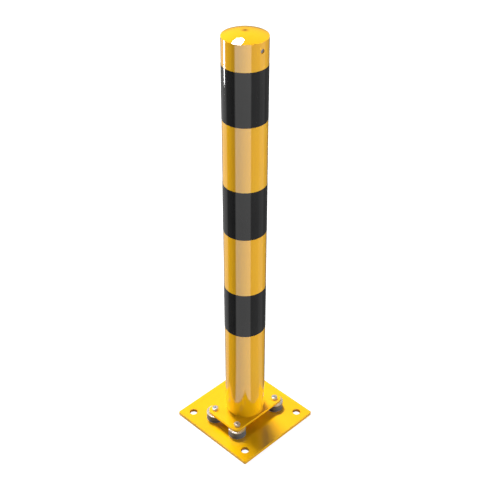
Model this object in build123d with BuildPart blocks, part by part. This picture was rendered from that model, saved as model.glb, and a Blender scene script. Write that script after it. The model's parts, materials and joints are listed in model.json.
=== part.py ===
"""Barrier post on a rubber-buffer base.

A banded tube post stands on a small upper plate. Four rubber buffers with steel
end discs carry that plate on a square base plate, which is bolted to the ground.
Millimetres, +Z up, origin on the ground under the middle of the base plate.
+X is the side that the cap's set screw faces, and +Y runs along the upper plate.
"""

from build123d import *

import os
from math import radians, sqrt, tan

os.makedirs("parts", exist_ok=True)

# Post
post_height = 950.0
tube_diameter = 88.9
tube_wall = 3.2

# Cap
cap_rise = 10.0
cap_edge = 1.5
cap_thickness = 3.0
spigot_length = 26.0
spigot_wall = 6.0
spigot_clearance = 0.3
spigot_lead_in = 1.5

# Black bands, from the top down
band_drop = 53.0
band_height = 111.0
band_gap = 140.0
band_thickness = 0.2

# Base plate
base_side = 220.0
base_thickness = 8.0
base_corner_radius = 3.0
anchor_edge_distance = 25.0
anchor_hole_diameter = 18.0

# Upper plate
upper_thickness = 6.0
upper_side_margin = 4.5
upper_end_margin = 31.5
upper_corner_radius = 12.0
drain_hole_diameter = 20.0

# Rounding of the plates' top edges
plate_edge_round = 0.6

# Rubber buffers
buffer_diameter = 40.0
buffer_height = 20.0
buffer_side_distance = 13.0
buffer_end_distance = 15.0
disc_thickness = 2.0
disc_edge_round = 1.5
rubber_inset = 0.5
boss_diameter = 13.0
boss_depth = 6.0

# Screws in the buffers
thread_diameter = 8.0
screw_hole_clearance = 0.5
screw_end_gap = 0.5
screw_end_chamfer = 0.8
low_head_diameter = 14.0
low_head_height = 6.0
low_head_round = 1.5
low_socket_width = 5.0
low_socket_depth = 3.5
flush_head_diameter = 16.0
flush_head_angle = 90.0
flush_head_sink = 0.2
flush_socket_width = 5.0
flush_socket_depth = 2.6

# Set screw in the cap
set_screw_drop = 17.0
set_screw_diameter = 8.0
set_screw_length = 8.0
set_screw_sink = 1.4
set_screw_round = 1.4
set_screw_chamfer = 0.6
set_screw_hole_clearance = 0.5
set_socket_width = 4.0
set_socket_depth = 3.5

# Heights that follow
buffer_bottom = base_thickness
buffer_top = buffer_bottom + buffer_height
upper_top = buffer_top + upper_thickness
rim_height = post_height - cap_rise
tube_top = rim_height - cap_edge
spigot_end = tube_top - spigot_length
set_screw_height = rim_height - set_screw_drop

# Radii that follow
tube_radius = tube_diameter / 2
bore_radius = tube_radius - tube_wall
spigot_radius = bore_radius - spigot_clearance
spigot_bore_radius = spigot_radius - spigot_wall
buffer_radius = buffer_diameter / 2
rubber_radius = buffer_radius - rubber_inset
boss_radius = boss_diameter / 2
thread_radius = thread_diameter / 2
screw_hole_radius = thread_radius + screw_hole_clearance
anchor_hole_radius = anchor_hole_diameter / 2
set_screw_radius = set_screw_diameter / 2

# Plate sizes and hole spacings that follow
upper_width = tube_diameter + 2 * upper_side_margin
upper_length = tube_diameter + 2 * upper_end_margin
buffer_spacing_x = upper_width - 2 * buffer_side_distance
buffer_spacing_y = upper_length - 2 * buffer_end_distance
anchor_spacing = base_side - 2 * anchor_edge_distance

# How far a screw reaches into its buffer, and the countersink's slope
screw_reach = boss_depth - screw_end_gap
flush_slope = tan(radians(flush_head_angle / 2))

# Buffers are numbered from the +X +Y corner, anticlockwise seen from above
buffer_places = [
    (buffer_spacing_x / 2, buffer_spacing_y / 2),
    (-buffer_spacing_x / 2, buffer_spacing_y / 2),
    (-buffer_spacing_x / 2, -buffer_spacing_y / 2),
    (buffer_spacing_x / 2, -buffer_spacing_y / 2),
]


def save(piece, name):
    """Label one finished piece and write its file."""
    piece.label = name
    export_step(piece, f"parts/{name}.step")


def turning_plane(x, y):
    """Upright plane for a turned profile: its x is the radius and its y is the height."""
    return Plane(origin=(x, y, 0), x_dir=(1, 0, 0), z_dir=(0, -1, 0))


def turning_axis(x, y):
    """Upright axis that a turned profile goes round."""
    return Axis((x, y, 0), (0, 0, 1))


def end_disc(x, y, outer_face, inward):
    """Steel end disc of a buffer, with its threaded boss; inward is 1 for up and -1 for down."""
    inner_face = outer_face + inward * disc_thickness
    boss_end = outer_face + inward * boss_depth
    with BuildPart() as disc:
        with BuildSketch(turning_plane(x, y)):
            with BuildLine():
                Line((thread_radius, outer_face), (buffer_radius - disc_edge_round, outer_face))
                RadiusArc(
                    (buffer_radius - disc_edge_round, outer_face),
                    (buffer_radius, outer_face + inward * disc_edge_round),
                    -inward * disc_edge_round,
                )
                Polyline(
                    (buffer_radius, outer_face + inward * disc_edge_round),
                    (buffer_radius, inner_face),
                    (boss_radius, inner_face),
                    (boss_radius, boss_end),
                    (thread_radius, boss_end),
                    (thread_radius, outer_face),
                )
            make_face()
        revolve(axis=turning_axis(x, y))
    return disc.part


def rubber_body(x, y):
    """Rubber of a buffer, moulded between its two discs and around their bosses."""
    rubber_bottom = buffer_bottom + disc_thickness
    rubber_top = buffer_top - disc_thickness
    with BuildPart() as rubber:
        with BuildSketch(Plane((x, y, rubber_bottom))):
            Circle(rubber_radius)
        extrude(amount=rubber_top - rubber_bottom)
        with Locations((x, y, rubber_bottom), (x, y, rubber_top)):
            Hole(boss_radius, depth=boss_depth - disc_thickness)
    return rubber.part


def low_head_screw(x, y):
    """Low-head socket screw that holds the upper plate down on a buffer."""
    head_radius = low_head_diameter / 2
    head_top = upper_top + low_head_height
    screw_end = buffer_top - screw_reach
    with BuildPart() as screw:
        with BuildSketch(turning_plane(x, y)):
            with BuildLine():
                Polyline(
                    (0, head_top),
                    (0, screw_end),
                    (thread_radius - screw_end_chamfer, screw_end),
                    (thread_radius, screw_end + screw_end_chamfer),
                    (thread_radius, upper_top),
                    (head_radius, upper_top),
                    (head_radius, head_top - low_head_round),
                )
                RadiusArc(
                    (head_radius, head_top - low_head_round),
                    (head_radius - low_head_round, head_top),
                    -low_head_round,
                )
                Line((head_radius - low_head_round, head_top), (0, head_top))
            make_face()
        revolve(axis=turning_axis(x, y))
        with BuildSketch(Plane((x, y, head_top))):
            RegularPolygon(low_socket_width / 2, 6, major_radius=False)
        extrude(amount=-low_socket_depth, mode=Mode.SUBTRACT)
    return screw.part


def flush_screw(x, y):
    """Countersunk screw, head down, that holds a buffer on the base plate."""
    head_radius = flush_head_diameter / 2
    cone_end = flush_head_sink + (head_radius - thread_radius) / flush_slope
    screw_end = buffer_bottom + screw_reach
    with BuildPart() as screw:
        with BuildSketch(turning_plane(x, y)):
            with BuildLine():
                Polyline(
                    (0, flush_head_sink),
                    (head_radius, flush_head_sink),
                    (thread_radius, cone_end),
                    (thread_radius, screw_end - screw_end_chamfer),
                    (thread_radius - screw_end_chamfer, screw_end),
                    (0, screw_end),
                    close=True,
                )
            make_face()
        revolve(axis=turning_axis(x, y))
        with BuildSketch(Plane((x, y, flush_head_sink))):
            RegularPolygon(flush_socket_width / 2, 6, major_radius=False)
        extrude(amount=flush_socket_depth, mode=Mode.SUBTRACT)
    return screw.part


# Base plate: anchor holes, and countersunk holes from below for the buffers
with BuildPart() as base_plate:
    with BuildSketch():
        RectangleRounded(base_side, base_side, base_corner_radius)
    extrude(amount=base_thickness)
    fillet(base_plate.faces().sort_by(Axis.Z)[-1].edges(), plate_edge_round)
    with GridLocations(anchor_spacing, anchor_spacing, 2, 2):
        Hole(anchor_hole_radius)
    with Locations(Plane.XY.rotated((180, 0, 0))):
        with GridLocations(buffer_spacing_x, buffer_spacing_y, 2, 2):
            CounterSinkHole(
                radius=screw_hole_radius,
                counter_sink_radius=flush_head_diameter / 2 + flush_head_sink * flush_slope,
                counter_sink_angle=flush_head_angle,
            )
save(base_plate.part, "base_plate")

# Upper plate: screw holes over the buffers, and a drain hole inside the tube
with BuildPart() as upper_plate:
    with BuildSketch(Plane.XY.offset(buffer_top)):
        RectangleRounded(upper_width, upper_length, upper_corner_radius)
    extrude(amount=upper_thickness)
    fillet(upper_plate.faces().sort_by(Axis.Z)[-1].edges(), plate_edge_round)
    with Locations((0, 0, upper_top)):
        Hole(drain_hole_diameter / 2, depth=upper_thickness)
        with GridLocations(buffer_spacing_x, buffer_spacing_y, 2, 2):
            Hole(screw_hole_radius, depth=upper_thickness)
save(upper_plate.part, "upper_plate")

# Post tube: one hole near the top, where the cap's set screw goes in
with BuildPart() as post_tube:
    with BuildSketch(Plane.XY.offset(upper_top)):
        Circle(tube_radius)
        Circle(bore_radius, mode=Mode.SUBTRACT)
    extrude(amount=tube_top - upper_top)
    with Locations(Plane((tube_radius, 0, set_screw_height), z_dir=(1, 0, 0))):
        Hole(set_screw_radius + set_screw_hole_clearance, depth=2 * tube_wall)
save(post_tube.part, "post_tube")

# Cap: even shallow dome, flush with the tube, and a spigot that stands inside the tube
dome_radius = (tube_radius**2 + cap_rise**2) / (2 * cap_rise)
inner_dome_radius = dome_radius - cap_thickness
dome_centre = post_height - dome_radius
inner_dome_edge = dome_centre + sqrt(inner_dome_radius**2 - spigot_bore_radius**2)
with BuildPart() as post_cap:
    with BuildSketch(Plane.XZ):
        with BuildLine():
            RadiusArc((0, post_height), (tube_radius, rim_height), dome_radius)
            Polyline(
                (tube_radius, rim_height),
                (tube_radius, tube_top),
                (spigot_radius, tube_top),
                (spigot_radius, spigot_end + spigot_lead_in),
                (spigot_radius - spigot_lead_in, spigot_end),
                (spigot_bore_radius, spigot_end),
                (spigot_bore_radius, inner_dome_edge),
            )
            RadiusArc(
                (spigot_bore_radius, inner_dome_edge),
                (0, post_height - cap_thickness),
                -inner_dome_radius,
            )
            Line((0, post_height - cap_thickness), (0, post_height))
        make_face()
    revolve(axis=Axis.Z)
    with Locations(Plane((spigot_radius, 0, set_screw_height), z_dir=(1, 0, 0))):
        Hole(set_screw_radius, depth=2 * spigot_wall)
save(post_cap.part, "post_cap")

# Set screw: sunk in the tube's hole and screwed into the spigot
set_screw_plane = Plane((tube_radius - set_screw_sink, 0, set_screw_height), z_dir=(1, 0, 0))
with BuildPart() as cap_set_screw:
    with BuildSketch(set_screw_plane):
        Circle(set_screw_radius)
    extrude(amount=-set_screw_length)
    rims = cap_set_screw.edges().filter_by(GeomType.CIRCLE).sort_by(Axis.X)
    chamfer(rims[0], set_screw_chamfer)
    fillet(rims[-1], set_screw_round)
    with BuildSketch(set_screw_plane):
        RegularPolygon(set_socket_width / 2, 6, major_radius=False)
    extrude(amount=-set_socket_depth, mode=Mode.SUBTRACT)
save(cap_set_screw.part, "cap_set_screw")

# Black bands: thin sleeves around the tube, as many as it has room for
band_pitch = band_height + band_gap
band_count = int((rim_height - band_drop - upper_top + band_gap) // band_pitch)
for number in range(band_count):
    band_bottom = rim_height - band_drop - band_height - number * band_pitch
    with BuildPart() as band:
        with BuildSketch(Plane.XY.offset(band_bottom)):
            Circle(tube_radius + band_thickness)
            Circle(tube_radius, mode=Mode.SUBTRACT)
        extrude(amount=band_height)
    save(band.part, f"black_band_{number + 1}")

# Buffers with their screws
for number, (x, y) in enumerate(buffer_places, start=1):
    save(end_disc(x, y, buffer_bottom, 1), f"buffer_{number}_bottom_disc")
    save(rubber_body(x, y), f"buffer_{number}_rubber")
    save(end_disc(x, y, buffer_top, -1), f"buffer_{number}_top_disc")
    save(low_head_screw(x, y), f"buffer_{number}_top_screw")
    save(flush_screw(x, y), f"buffer_{number}_base_screw")
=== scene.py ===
"""Looks of the barrier post: finishes, soft pieces, studio and camera, in metres."""
import json
from math import cos, pi, radians, sin

import bmesh
import bpy
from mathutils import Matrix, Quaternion, Vector


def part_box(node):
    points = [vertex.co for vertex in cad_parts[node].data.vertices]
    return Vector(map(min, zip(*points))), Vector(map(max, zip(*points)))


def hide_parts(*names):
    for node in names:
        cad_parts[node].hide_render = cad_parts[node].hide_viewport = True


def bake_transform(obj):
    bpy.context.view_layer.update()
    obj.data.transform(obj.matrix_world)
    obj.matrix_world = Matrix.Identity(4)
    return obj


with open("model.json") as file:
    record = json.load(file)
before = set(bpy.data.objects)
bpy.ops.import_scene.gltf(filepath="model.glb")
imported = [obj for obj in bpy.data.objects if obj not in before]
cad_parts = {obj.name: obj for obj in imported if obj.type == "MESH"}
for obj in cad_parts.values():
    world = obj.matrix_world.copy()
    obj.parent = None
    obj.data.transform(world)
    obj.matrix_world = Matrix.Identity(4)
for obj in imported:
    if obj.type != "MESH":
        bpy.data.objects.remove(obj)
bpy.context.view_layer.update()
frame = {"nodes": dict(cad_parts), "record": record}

scene = bpy.context.scene
nodes = frame["nodes"]

# Camera, fitted to the photograph: distance from the post's axis, height and downward tilt
camera_distance = 1.6095
camera_height = 1.6055
camera_azimuth = radians(45)
camera_tilt = radians(34.87)
camera_clip_start = 0.05
sensor_width = 36.0
photo_width = 490
focal_length_px = 953.7

# Studio: azimuths are counted from the camera's side, positive to its right
studio_reach = 6.0
floor_albedo = 0.22
floor_white = 0.94
ambient_level = 0.16
sky_behind = 0.12
sky_in_front = 0.02
sky_blend = 0.3
side_lamp_distance = 5.8
side_lamp_aim = 0.5

# Ring of light on the floor, clear of the base plate. Far away it glows more than near the object
glow_height = 0.0005
glow_reach = 5.0
glow_margin = 0.012
glow_steps = 72
glow_near_distance = 0.2
glow_near_level = 0.9
glow_far_distance = 2.2
glow_far_level = 1.3

# How brightly the ring glows: sectors from one azimuth to another, each with its level. The gaps blend
glow_sectors = (
    (-180, -155, 0.0),
    (-149, -103, 0.4),
    (-97, -52, 0.05),
    (-45, 27, 1.0),
    (31, 72, 0.2),
    (76, 104, 0.3),
    (112, 148, 0.1),
    (156, 180, 0.0),
)

# Colours of the finishes. Each finish varies a little between its two
white = (1, 1, 1)
paint_warm = (0.955, 0.477, 0.003)
paint_cool = (0.94, 0.497, 0.005)
paint_fleck = (0.93, 0.92, 0.9)
film_dark = (0.0150, 0.0152, 0.0156)
film_light = (0.0185, 0.0187, 0.0190)
zinc_light = (0.88, 0.88, 0.88)
zinc_dark = (0.79, 0.80, 0.82)
rubber_dark = (0.088, 0.094, 0.104)
rubber_light = (0.115, 0.121, 0.131)

# Painted shade: a small dark spot in the middle of the cap, painted into the paint's colour
shade_spot_core = 0.0005
shade_spot_radius = 0.0095
shade_spot_ragged = 0.0012
shade_spot_strength = 0.85
shade_spot_colour = (0.22, 0.08, 0.003)

# Rubber of the buffers. The flare is the small fillet at each bond, in steps along its height
buffer_count = 4
rubber_steps = 96
bond_flare = 0.0003
bond_flare_height = 0.0012
bond_flare_steps = (0, 0.15, 0.35, 0.6, 1)
boss_clearance = 0.00005
boss_top_tolerance = 0.0001
sharp_edge = radians(35)


def studio_point(azimuth, distance, height):
    """A place in the studio, given by its azimuth from the camera's side."""
    angle = camera_azimuth + radians(azimuth)
    return Vector((sin(angle) * distance, -cos(angle) * distance, height))


def make_camera():
    """Camera at the photograph's viewing angle."""
    data = bpy.data.cameras.new("photo_camera")
    data.sensor_width = sensor_width
    data.lens = sensor_width * focal_length_px / photo_width
    data.clip_start = camera_clip_start
    camera = bpy.data.objects.new("photo_camera", data)
    camera.location = studio_point(0, camera_distance, camera_height)
    camera.rotation_euler = (pi / 2 - camera_tilt, 0, camera_azimuth)
    scene.collection.objects.link(camera)
    scene.camera = camera


def new_material(name):
    """An empty node material with its output."""
    material = bpy.data.materials.new(name)
    material.use_nodes = True
    tree = material.node_tree
    tree.nodes.clear()
    output = tree.nodes.new("ShaderNodeOutputMaterial")
    return material, tree, output


def principled(name):
    """A node material with one Principled shader."""
    material, tree, output = new_material(name)
    shader = tree.nodes.new("ShaderNodeBsdfPrincipled")
    tree.links.new(shader.outputs[0], output.inputs["Surface"])
    return material, tree, shader


def set_inputs(shader, values):
    """Set plain values on the shader's own sockets."""
    for name, value in values.items():
        shader.inputs[name].default_value = value


def object_place(tree):
    """Where the surface is, in the object's own coordinates."""
    return tree.nodes.new("ShaderNodeTexCoord").outputs["Object"]


def vector_math(tree, operation, vector, fixed=(0, 0, 0)):
    """An operation on a vector and, where it takes two, a fixed one."""
    node = tree.nodes.new("ShaderNodeVectorMath")
    node.operation = operation
    node.inputs[1].default_value = fixed
    tree.links.new(vector, node.inputs[0])
    return node.outputs["Value" if operation in ("LENGTH", "DOT_PRODUCT") else "Vector"]


def noise(tree, scale, detail, roughness=0.5):
    """Noise over the object's own coordinates, in cells per metre."""
    node = tree.nodes.new("ShaderNodeTexNoise")
    node.inputs["Scale"].default_value = scale
    node.inputs["Detail"].default_value = detail
    node.inputs["Roughness"].default_value = roughness
    tree.links.new(object_place(tree), node.inputs["Vector"])
    return node.outputs["Fac"]


def spread(tree, value, low, high, start=0.3, stop=0.7):
    """The value's range from start to stop turned into the range from low to high."""
    node = tree.nodes.new("ShaderNodeMapRange")
    node.inputs["From Min"].default_value = start
    node.inputs["From Max"].default_value = stop
    node.inputs["To Min"].default_value = low
    node.inputs["To Max"].default_value = high
    tree.links.new(value, node.inputs["Value"])
    return node.outputs[0]


def colour_mix(tree, blend="MIX"):
    """A node that mixes the colours A and B."""
    node = tree.nodes.new("ShaderNodeMix")
    node.data_type = "RGBA"
    node.blend_type = blend
    return node


def two_colours(tree, value, first, second):
    """A colour between two, chosen by the value."""
    node = colour_mix(tree)
    node.inputs["A"].default_value = (*first, 1)
    node.inputs["B"].default_value = (*second, 1)
    tree.links.new(value, node.inputs["Factor"])
    return node.outputs["Result"]


def bump(tree, height, depth, under=None):
    """A bump of the given depth in metres, over another one if there is one."""
    node = tree.nodes.new("ShaderNodeBump")
    node.inputs["Strength"].default_value = 1.0
    node.inputs["Distance"].default_value = depth
    tree.links.new(height, node.inputs["Height"])
    if under is not None:
        tree.links.new(under, node.inputs["Normal"])
    return node.outputs[0]


def make_world():
    """White to the camera, a soft even light, and a dim room in reflections, darkest behind the camera."""
    world = bpy.data.worlds.new("studio_world")
    scene.world = world
    world.use_nodes = True
    tree = world.node_tree
    tree.nodes.clear()
    output = tree.nodes.new("ShaderNodeOutputWorld")
    path = tree.nodes.new("ShaderNodeLightPath")
    ambient = tree.nodes.new("ShaderNodeBackground")
    room = tree.nodes.new("ShaderNodeBackground")
    backdrop = tree.nodes.new("ShaderNodeBackground")
    for background in (ambient, room, backdrop):
        background.inputs["Color"].default_value = (*white, 1)
    ambient.inputs["Strength"].default_value = ambient_level
    direction = tree.nodes.new("ShaderNodeTexCoord").outputs["Generated"]
    facing = vector_math(tree, "DOT_PRODUCT", direction, studio_point(0, 1, 0))
    sky = spread(tree, facing, sky_behind, sky_in_front, start=-sky_blend, stop=sky_blend)
    tree.links.new(sky, room.inputs["Strength"])
    glossy_mix = tree.nodes.new("ShaderNodeMixShader")
    camera_mix = tree.nodes.new("ShaderNodeMixShader")
    tree.links.new(path.outputs["Is Glossy Ray"], glossy_mix.inputs["Fac"])
    tree.links.new(ambient.outputs[0], glossy_mix.inputs[1])
    tree.links.new(room.outputs[0], glossy_mix.inputs[2])
    tree.links.new(path.outputs["Is Camera Ray"], camera_mix.inputs["Fac"])
    tree.links.new(glossy_mix.outputs[0], camera_mix.inputs[1])
    tree.links.new(backdrop.outputs[0], camera_mix.inputs[2])
    tree.links.new(camera_mix.outputs[0], output.inputs["Surface"])


def floor_paper():
    """White to the camera, but still with the object's shadow. A plain grey to everything else."""
    material, tree, output = new_material("floor_paper")
    path = tree.nodes.new("ShaderNodeLightPath")
    diffuse = tree.nodes.new("ShaderNodeBsdfDiffuse")
    diffuse.inputs["Color"].default_value = (floor_albedo, floor_albedo, floor_albedo, 1)
    glow = tree.nodes.new("ShaderNodeEmission")
    glow.inputs["Strength"].default_value = floor_white
    both = tree.nodes.new("ShaderNodeAddShader")
    mix = tree.nodes.new("ShaderNodeMixShader")
    tree.links.new(diffuse.outputs[0], both.inputs[0])
    tree.links.new(glow.outputs[0], both.inputs[1])
    tree.links.new(path.outputs["Is Camera Ray"], mix.inputs["Fac"])
    tree.links.new(diffuse.outputs[0], mix.inputs[1])
    tree.links.new(both.outputs[0], mix.inputs[2])
    tree.links.new(mix.outputs[0], output.inputs["Surface"])
    return material


def make_floor():
    """Plain square floor under the object."""
    mesh = bpy.data.meshes.new("floor")
    corners = [(x * studio_reach, y * studio_reach, 0) for x, y in ((-1, -1), (1, -1), (1, 1), (-1, 1))]
    mesh.from_pydata(corners, [], [(0, 1, 2, 3)])
    mesh.materials.append(floor_paper())
    floor = bpy.data.objects.new("floor", mesh)
    scene.collection.objects.link(floor)


def ring_light():
    """Light of the ring on the floor, by azimuth and by distance from the post's axis."""
    material, tree, output = new_material("floor_glow")
    place = object_place(tree)
    split = tree.nodes.new("ShaderNodeSeparateXYZ")
    azimuth = tree.nodes.new("ShaderNodeMath")
    azimuth.operation = "ARCTAN2"
    tree.links.new(place, split.inputs[0])
    tree.links.new(split.outputs["X"], azimuth.inputs[0])
    tree.links.new(split.outputs["Y"], azimuth.inputs[1])
    turn = spread(tree, azimuth.outputs[0], low=0, high=1, start=-pi, stop=pi)
    levels = tree.nodes.new("ShaderNodeValToRGB")
    tree.links.new(turn, levels.inputs["Fac"])
    edges = []
    for start, end, level in glow_sectors:
        edges += [(start, level), (end, level)]
    stops = levels.color_ramp.elements
    for angle, level in edges[1:-1]:
        stops.new((angle + 180) / 360)
    for stop, (angle, level) in zip(stops, edges):
        stop.position = (angle + 180) / 360
        stop.color = (level, level, level, 1)
    away = vector_math(tree, "LENGTH", place)
    strength = spread(tree, away, glow_near_level, glow_far_level, glow_near_distance, glow_far_distance)
    glow = tree.nodes.new("ShaderNodeEmission")
    tree.links.new(levels.outputs["Color"], glow.inputs["Color"])
    tree.links.new(strength, glow.inputs["Strength"])
    tree.links.new(glow.outputs[0], output.inputs["Surface"])
    return material


def make_floor_glow():
    """Ring of light on the floor around the object, brightest on the camera's side and unseen by it."""
    low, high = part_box("base_plate")
    opening = high.x + glow_margin
    inner = []
    outer = []
    for i in range(glow_steps):
        angle = 2 * pi * i / glow_steps
        side = angle + camera_azimuth
        reach = opening / max(abs(sin(side)), abs(cos(side)))
        inner.append((sin(angle) * reach, cos(angle) * reach, 0))
        outer.append((sin(angle) * glow_reach, cos(angle) * glow_reach, 0))
    faces = []
    for i in range(glow_steps):
        j = (i + 1) % glow_steps
        faces.append((i, j, glow_steps + j, glow_steps + i))
    mesh = bpy.data.meshes.new("floor_glow")
    mesh.from_pydata(inner + outer, [], faces)
    mesh.materials.append(ring_light())
    ring = bpy.data.objects.new("floor_glow", mesh)
    ring.location = (0, 0, glow_height)
    ring.rotation_euler = (pi, 0, camera_azimuth)
    scene.collection.objects.link(ring)
    ring.visible_camera = False
    ring.visible_shadow = False
    ring.visible_transmission = False


def softbox(name, seen_by, azimuth, distance, height, aim, width, length, power, shape="RECTANGLE", roll=0):
    """Soft lamp that looks at the post's axis at the height aim, and lights its gloss or its colours."""
    data = bpy.data.lights.new(name, "AREA")
    data.shape = shape
    data.size = width
    data.size_y = length
    data.energy = power
    lamp = bpy.data.objects.new(name, data)
    lamp.location = studio_point(azimuth, distance, height)
    turn = (Vector((0, 0, aim)) - lamp.location).to_track_quat("-Z", "Y")
    lamp.rotation_euler = (turn @ Quaternion((0, 0, 1), radians(roll))).to_euler()
    lamp.visible_camera = False
    lamp.visible_glossy = seen_by == "gloss"
    lamp.visible_diffuse = seen_by == "colours"
    scene.collection.objects.link(lamp)


def make_lamps():
    """A key lamp from behind, two lamps that only the gloss shows, and four lamps around the sides."""
    softbox(
        "key_softbox", "colours", azimuth=-159, distance=2.2, height=4.35, aim=0.3,
        width=1.5, length=0.9, power=372, shape="ELLIPSE",
    )
    softbox(
        "cap_softbox", "gloss", azimuth=-157.5, distance=1.08, height=2.98, aim=0.95,
        width=0.66, length=0.98, power=60, shape="ELLIPSE", roll=-46,
    )
    softbox(
        "left_strip", "gloss", azimuth=-114, distance=1.78, height=0.13, aim=0.13,
        width=0.12, length=0.2, power=2.9,
    )
    for name, azimuth, height, power in (
        ("left_softbox", -117, 0.5, 400),
        ("right_softbox", 75, 0.5, 240),
        ("front_left_softbox", -60, 0.9, 48),
        ("front_right_softbox", 45, 0.9, 8),
    ):
        softbox(
            name, "colours", azimuth, side_lamp_distance, height, side_lamp_aim,
            width=1.0, length=0.9, power=power,
        )


def cap_painted_shade(tree):
    """How strongly the painted shade, a small dark spot in the middle of the cap, darkens the paint's
    colour.
    """
    flat = vector_math(tree, "MULTIPLY", object_place(tree), (1, 1, 0))
    ragged = tree.nodes.new("ShaderNodeMath")
    ragged.operation = "ADD"
    tree.links.new(vector_math(tree, "LENGTH", flat), ragged.inputs[0])
    rough = spread(tree, noise(tree, scale=300, detail=3), -shade_spot_ragged, shade_spot_ragged)
    tree.links.new(rough, ragged.inputs[1])
    return spread(tree, ragged.outputs[0], shade_spot_strength, 0, start=shade_spot_core, stop=shade_spot_radius)


def yellow_paint():
    """Glossy signal-yellow powder coat with a faint orange peel."""
    material, tree, shader = principled("yellow_paint")
    cloud = noise(tree, scale=14, detail=3)
    fleck = noise(tree, scale=2600, detail=2)
    peel = noise(tree, scale=420, detail=2)
    fine_peel = noise(tree, scale=1500, detail=2)
    tone = two_colours(tree, spread(tree, cloud, 0, 1), paint_warm, paint_cool)
    speck = two_colours(tree, spread(tree, fleck, 0, 1, start=0.66, stop=0.74), white, paint_fleck)
    flecked = colour_mix(tree, "MULTIPLY")
    flecked.inputs["Factor"].default_value = 1.0
    tree.links.new(tone, flecked.inputs["A"])
    tree.links.new(speck, flecked.inputs["B"])
    # Painted shade: a dark spot mixed into the paint's colour in the middle of the cap
    painted_shade = colour_mix(tree)
    painted_shade.inputs["B"].default_value = (*shade_spot_colour, 1)
    tree.links.new(cap_painted_shade(tree), painted_shade.inputs["Factor"])
    tree.links.new(flecked.outputs["Result"], painted_shade.inputs["A"])
    tree.links.new(painted_shade.outputs["Result"], shader.inputs["Base Color"])
    tree.links.new(spread(tree, cloud, low=0.05, high=0.08), shader.inputs["Roughness"])
    surface = bump(tree, fine_peel, depth=0.0000012, under=bump(tree, peel, depth=0.000005))
    tree.links.new(surface, shader.inputs["Normal"])
    tree.links.new(surface, shader.inputs["Coat Normal"])
    set_inputs(
        shader,
        {"Specular IOR Level": 1.0, "Coat Weight": 1.0, "Coat IOR": 1.7, "Coat Roughness": 0.025},
    )
    return material


def black_film():
    """Glossy black film of the bands, a little uneven over the paint."""
    material, tree, shader = principled("black_film")
    cloud = noise(tree, scale=20, detail=3)
    peel = noise(tree, scale=380, detail=2)
    grain = noise(tree, scale=3000, detail=1)
    tone = two_colours(tree, spread(tree, cloud, 0, 1), film_dark, film_light)
    tree.links.new(tone, shader.inputs["Base Color"])
    tree.links.new(spread(tree, cloud, low=0.05, high=0.09), shader.inputs["Roughness"])
    surface = bump(tree, grain, depth=0.000001, under=bump(tree, peel, depth=0.000012))
    tree.links.new(surface, shader.inputs["Normal"])
    set_inputs(shader, {"Specular IOR Level": 0.55})
    return material


def buffer_radius(tree):
    """Distance from the nearest buffer's axis. The four buffers mirror each other about both axes."""
    axis = buffer_axis("buffer_1")
    flat = vector_math(tree, "MULTIPLY", object_place(tree), (1, 1, 0))
    folded = vector_math(tree, "ABSOLUTE", flat)
    apart = vector_math(tree, "SUBTRACT", folded, (abs(axis.x), abs(axis.y), 0))
    return vector_math(tree, "LENGTH", apart)


def plated_steel():
    """Zinc-plated turned steel of the discs and screws."""
    material, tree, shader = principled("plated_steel")
    rings = tree.nodes.new("ShaderNodeTexNoise")
    rings.noise_dimensions = "1D"
    rings.inputs["Scale"].default_value = 5200
    rings.inputs["Detail"].default_value = 2
    tree.links.new(buffer_radius(tree), rings.inputs["W"])
    cloud = noise(tree, scale=160, detail=3)
    grain = noise(tree, scale=2400, detail=2)
    tone = two_colours(tree, spread(tree, cloud, 0, 1), zinc_light, zinc_dark)
    tree.links.new(tone, shader.inputs["Base Color"])
    tree.links.new(spread(tree, grain, low=0.25, high=0.31), shader.inputs["Roughness"])
    surface = bump(tree, grain, depth=0.000003, under=bump(tree, rings.outputs["Fac"], depth=0.000006))
    tree.links.new(surface, shader.inputs["Normal"])
    set_inputs(shader, {"Metallic": 0.85})
    return material


def rubber():
    """Dark grey moulded rubber with a fine dull grain."""
    material, tree, shader = principled("rubber")
    cloud = noise(tree, scale=120, detail=4)
    grain = noise(tree, scale=2200, detail=3, roughness=0.6)
    pores = noise(tree, scale=700, detail=2)
    tone = two_colours(tree, spread(tree, cloud, 0, 1), rubber_dark, rubber_light)
    tree.links.new(tone, shader.inputs["Base Color"])
    tree.links.new(spread(tree, grain, low=0.55, high=0.7), shader.inputs["Roughness"])
    surface = bump(tree, grain, depth=0.00001, under=bump(tree, pores, depth=0.00002))
    tree.links.new(surface, shader.inputs["Normal"])
    set_inputs(shader, {"Specular IOR Level": 0.25, "Sheen Weight": 0.1, "Sheen Roughness": 0.5})
    return material


def buffer_axis(name):
    """Middle of a buffer's rubber."""
    low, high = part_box(name + "_rubber")
    return (low + high) / 2


def boss_radius_of(name):
    """Radius of the boss that stands inside the rubber, read from the lower disc's own mesh."""
    disc = nodes[name + "_bottom_disc"]
    centre = buffer_axis(name)
    top = max(vertex.co.z for vertex in disc.data.vertices)
    rim = [vertex.co for vertex in disc.data.vertices if vertex.co.z > top - boss_top_tolerance]
    return max(((point.x - centre.x) ** 2 + (point.y - centre.y) ** 2) ** 0.5 for point in rim)


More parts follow.
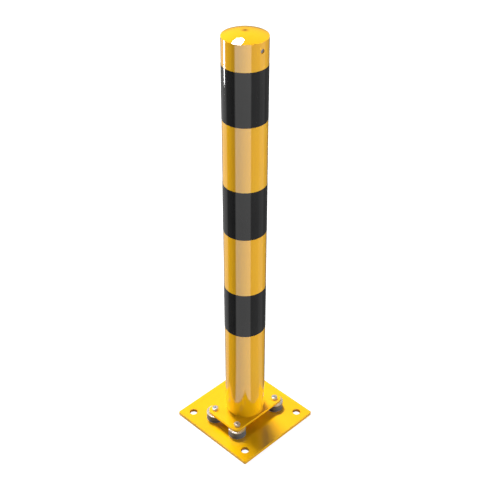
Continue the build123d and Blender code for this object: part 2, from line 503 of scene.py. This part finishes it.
def turned_mesh(name, profile, centre, steps):
    """A solid turned about the vertical line through centre, from (radius, height) points.

    Its first and last points lie on that line.
    """
    form = bmesh.new()
    rows = []
    for radius, height in profile:
        row = []
        for i in range(steps if radius > 0 else 1):
            angle = 2 * pi * i / steps
            x = centre.x + radius * cos(angle)
            y = centre.y + radius * sin(angle)
            row.append(form.verts.new((x, y, height)))
        rows.append(row)
    for first, second in zip(rows, rows[1:]):
        for i in range(steps):
            j = (i + 1) % steps
            corners = []
            for row, spot in ((first, i), (first, j), (second, j), (second, i)):
                vertex = row[spot % len(row)]
                if vertex not in corners:
                    corners.append(vertex)
            form.faces.new(corners)
    bmesh.ops.recalc_face_normals(form, faces=form.faces)
    mesh = bpy.data.meshes.new(name)
    form.to_mesh(mesh)
    form.free()
    for face in mesh.polygons:
        face.use_smooth = True
    mesh.set_sharp_from_angle(angle=sharp_edge)
    piece = bpy.data.objects.new(name, mesh)
    scene.collection.objects.link(piece)
    return piece


def rubber_half(name, centre, bond, radius, boss_radius, boss_end):
    """Half of a buffer's rubber, up or down from the disc that it is bonded to, to the rubber's middle."""
    middle = centre.z
    way = 1 if middle > bond else -1
    socket = boss_end + way * boss_clearance
    profile = [(0, socket), (boss_radius, socket), (boss_radius, bond)]
    for part in bond_flare_steps:
        flare = bond_flare * (1 - sin(pi / 2 * part))
        profile.append((radius + flare, bond + way * bond_flare_height * part))
    profile += [(radius, middle - way * bond_flare_height), (radius, middle), (0, middle)]
    return turned_mesh(name, profile, centre, rubber_steps)


def make_rubbers():
    """Each rubber as two halves that meet at the height where both tilts have their axis."""
    for number in range(1, buffer_count + 1):
        name = f"buffer_{number}"
        low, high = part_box(name + "_rubber")
        centre = buffer_axis(name)
        radius = (high.x - low.x) / 2
        boss_radius = boss_radius_of(name)
        for part, bond, disc, pair in (
            ("lower", low.z, "_bottom_disc", ("base", "rubber_buffers")),
            ("upper", high.z, "_top_disc", ("rubber_buffers", "post")),
        ):
            disc_low, disc_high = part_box(name + disc)
            boss_end = disc_high.z if part == "lower" else disc_low.z
            half = rubber_half(f"{name}_rubber_{part}", centre, bond, radius, boss_radius, boss_end)
            half.data.materials.append(finishes["rubber"])
            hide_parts(name + "_rubber")
            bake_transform(half)


finishes = {
    "yellow_paint": yellow_paint(),
    "black_film": black_film(),
    "plated_steel": plated_steel(),
    "rubber": rubber(),
}
slot_of_node = {entry["node"]: entry["material_slot"] for entry in frame["record"]["subparts"]}
for name, node in nodes.items():
    node.data.materials.clear()
    node.data.materials.append(finishes[slot_of_node[name]])

make_rubbers()
make_camera()
make_world()
make_floor()
make_floor_glow()
make_lamps()
scene.view_settings.view_transform = "Standard"
